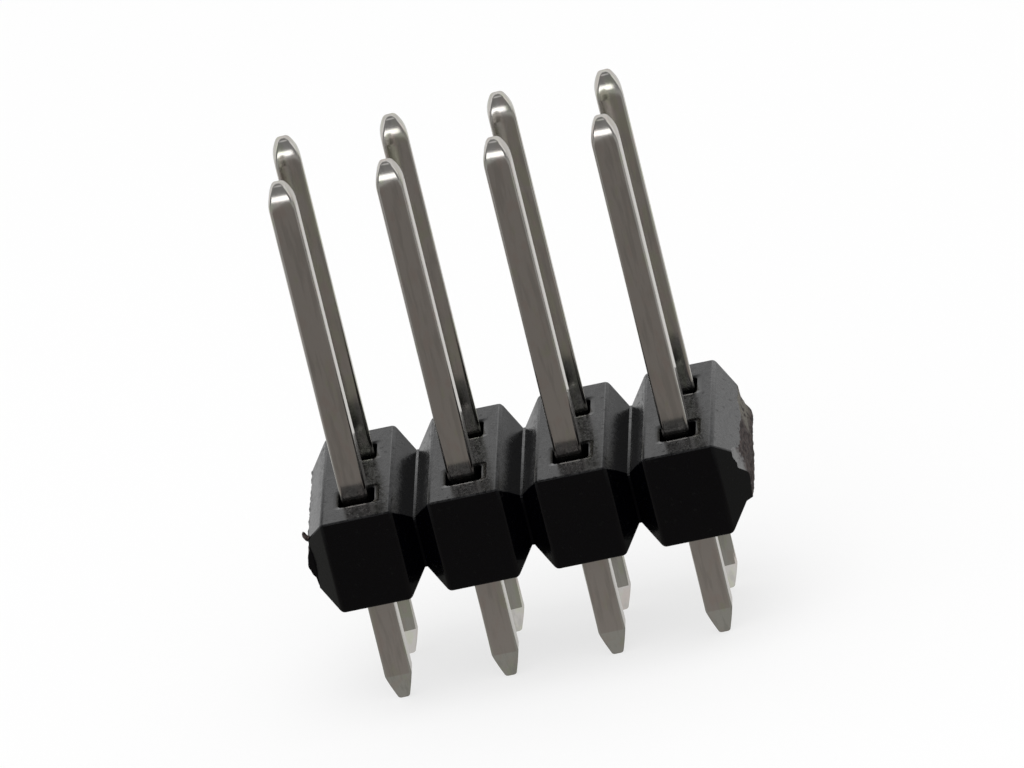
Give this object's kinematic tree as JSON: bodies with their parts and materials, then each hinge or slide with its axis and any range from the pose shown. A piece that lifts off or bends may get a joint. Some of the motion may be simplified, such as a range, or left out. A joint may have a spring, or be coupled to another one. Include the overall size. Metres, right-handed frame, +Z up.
{
  "type": "pin header strip",
  "caption": "Breakaway pin header: black moulded strip of notched cells, with rows of straight square plated pins pressed through it, snapped from a longer strip.",
  "frame": {"origin": "centre of the pin grid, in the plane of the strip's underside, where it seats on a board", "axes": "+X along the strip from the first to the last pin column, +Y from the front row to the rear row, +Z up along the mating ends of the pins"},
  "size_m": [0.0105, 0.005, 0.0133],
  "materials": {
    "header_plastic": "black glass-filled moulded plastic, smooth faces with faint scuffs, rough grey-brown tears at both broken ends",
    "pin_plating": "drawn square wire with a satin tin plate, faint streaks along it and brighter coined tips"
  },
  "bodies": {
    "root": {"header_body": "header_plastic", "pin_front_1": "pin_plating", "pin_front_2": "pin_plating", "pin_front_3": "pin_plating", "pin_front_4": "pin_plating", "pin_rear_1": "pin_plating", "pin_rear_2": "pin_plating", "pin_rear_3": "pin_plating", "pin_rear_4": "pin_plating"}
  },
  "joints": []
}
